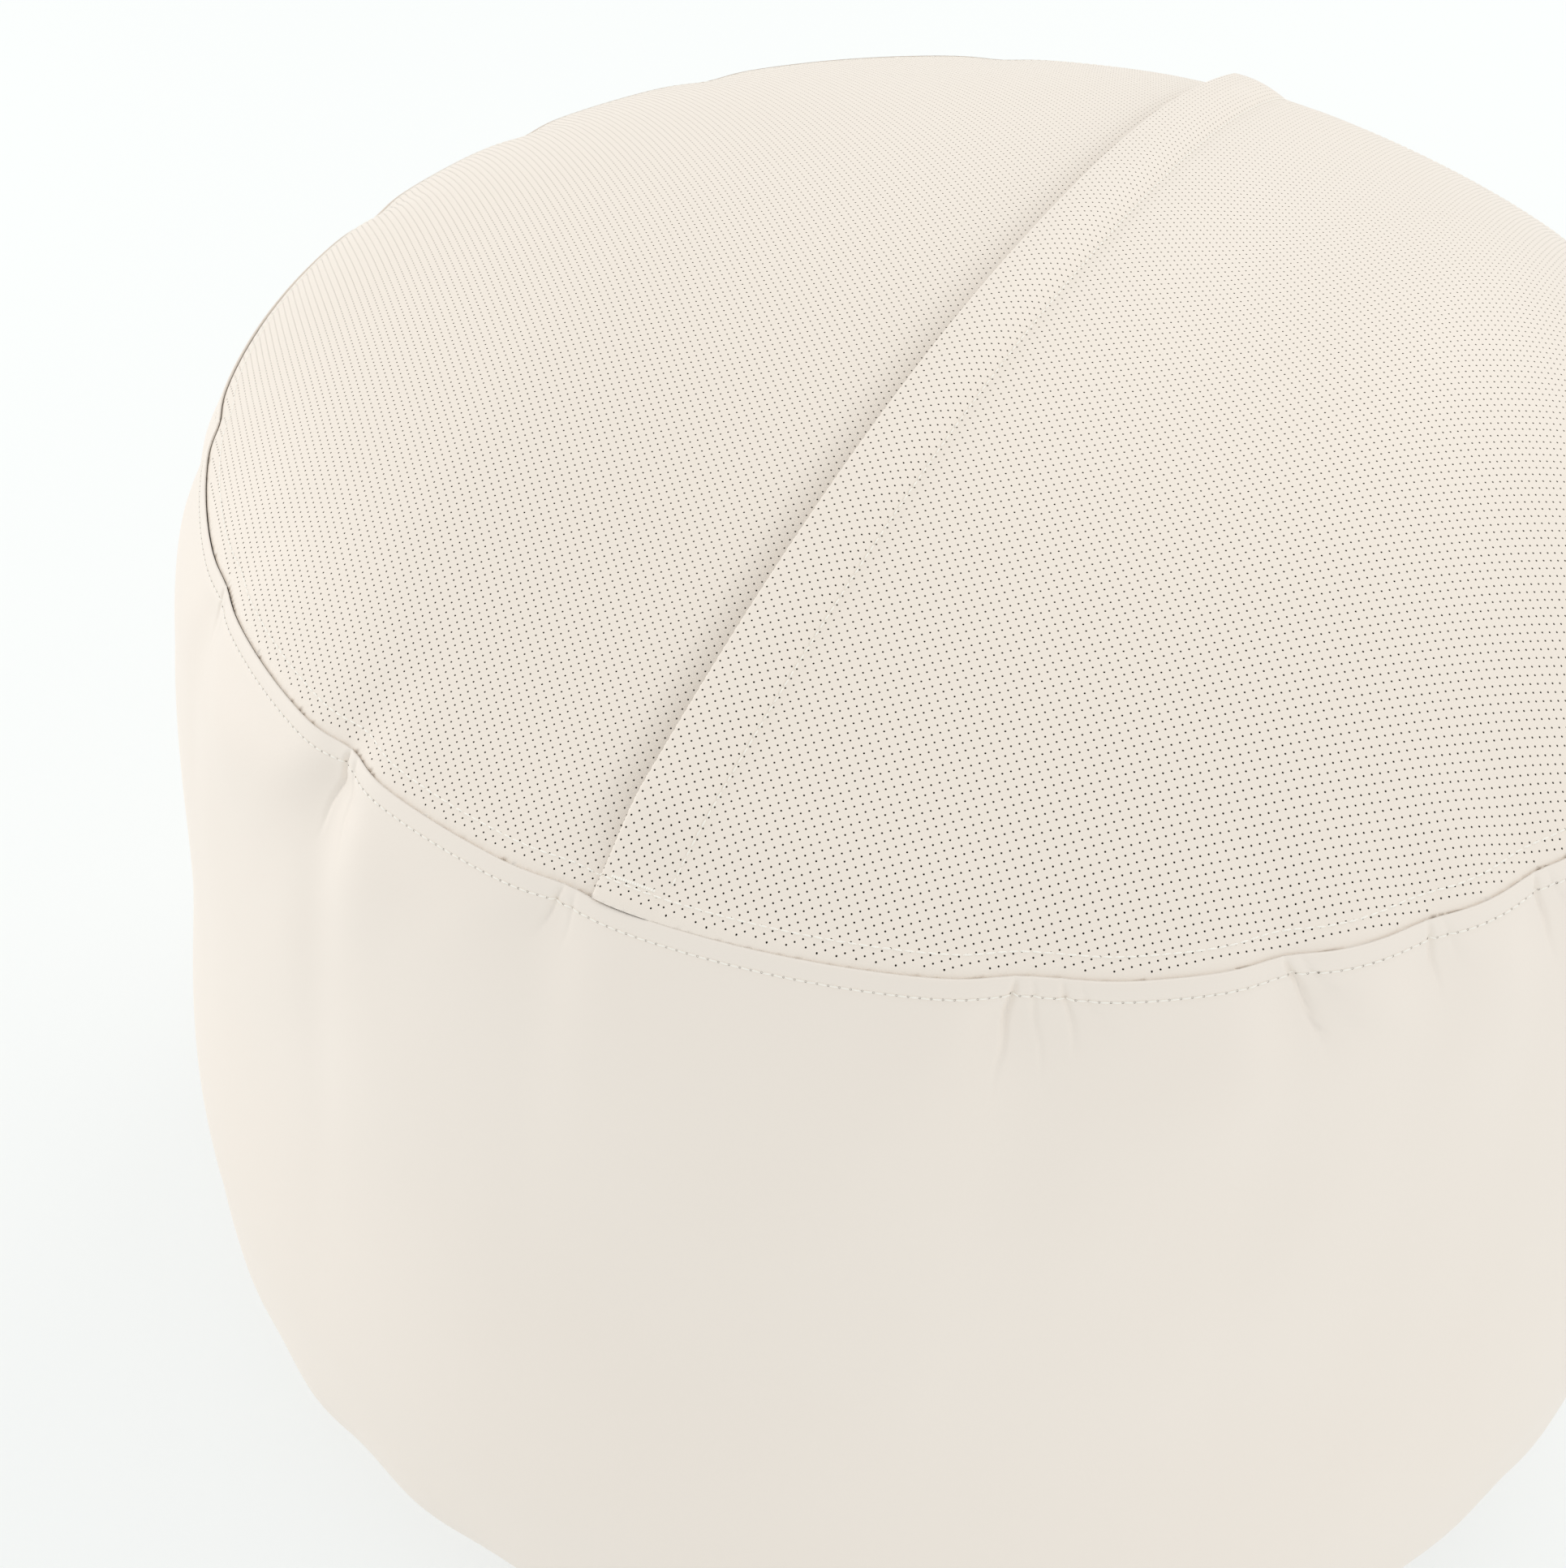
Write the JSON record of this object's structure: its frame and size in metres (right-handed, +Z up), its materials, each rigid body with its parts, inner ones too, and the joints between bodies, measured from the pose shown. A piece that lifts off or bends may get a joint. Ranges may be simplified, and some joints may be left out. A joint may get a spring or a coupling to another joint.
{
  "type": "floor pouf",
  "caption": "Round bead-filled floor pouf with a domed perforated top, a folded flap over a hidden zip and a smooth side wall.",
  "frame": {"origin": "centre of the flat base, on the floor", "axes": "+Z up; +Y along the zip and its flap, from the front end to the back end where the slider rests; the back seam is at +Y"},
  "size_m": [0.622, 0.6223, 0.4722],
  "materials": {
    "perforated_leather": "satin, fine grain, punched with small round holes",
    "smooth_leather": "satin, fine grain",
    "base_cloth": "matte woven, coated underside",
    "seam_tape": "matte woven tape",
    "thread": "twisted polyester thread",
    "zip_tape": "matte woven tape",
    "zip_coil": "semi-gloss nylon coil",
    "zip_metal": "satin enamel",
    "inner_bag_cloth": "thin non-woven cloth",
    "foam_beads": "expanded polystyrene beads"
  },
  "bodies": {
    "pouf": {"back_seam_stitch": "thread", "back_seam_tape": "seam_tape", "base_panel": "base_cloth", "base_seam_tape": "seam_tape", "base_stitch": "thread", "bead_fill": "foam_beads", "flap_stitch": "thread", "flap_tack_back": "thread", "flap_tack_front": "thread", "inner_bag_base": "inner_bag_cloth", "inner_bag_closure": "inner_bag_cloth", "inner_bag_top": "inner_bag_cloth", "inner_bag_wall": "inner_bag_cloth", "left_panel_stitch": "thread", "rim_seam_tape": "seam_tape", "rim_stitch_top": "thread", "rim_stitch_wall": "thread", "side_wall": "smooth_leather", "top_panel_left": "perforated_leather", "top_panel_right": "perforated_leather", "zip_bottom_stop": "zip_metal", "zip_coil_left": "zip_coil", "zip_coil_right": "zip_coil", "zip_flap": "perforated_leather", "zip_tape_left": "zip_tape", "zip_tape_right": "zip_tape", "zip_top_stops": "zip_metal"},
    "slider": {"zip_slider": "zip_metal"},
    "pull": {"zip_pull": "zip_metal"}
  },
  "joints": [
    {"name": "zip_run", "type": "hinge", "parent": "pouf", "child": "slider", "pos_m": [0.017, 0, -0.15553], "axis": [1, 0, 0], "range_deg": [0, 38.2]},
    {"name": "pull_lift", "type": "hinge", "parent": "slider", "child": "pull", "pos_m": [0.017, 0.20337, 0.43112], "axis": [-1, 0, 0], "range_deg": [0, 8]}
  ]
}
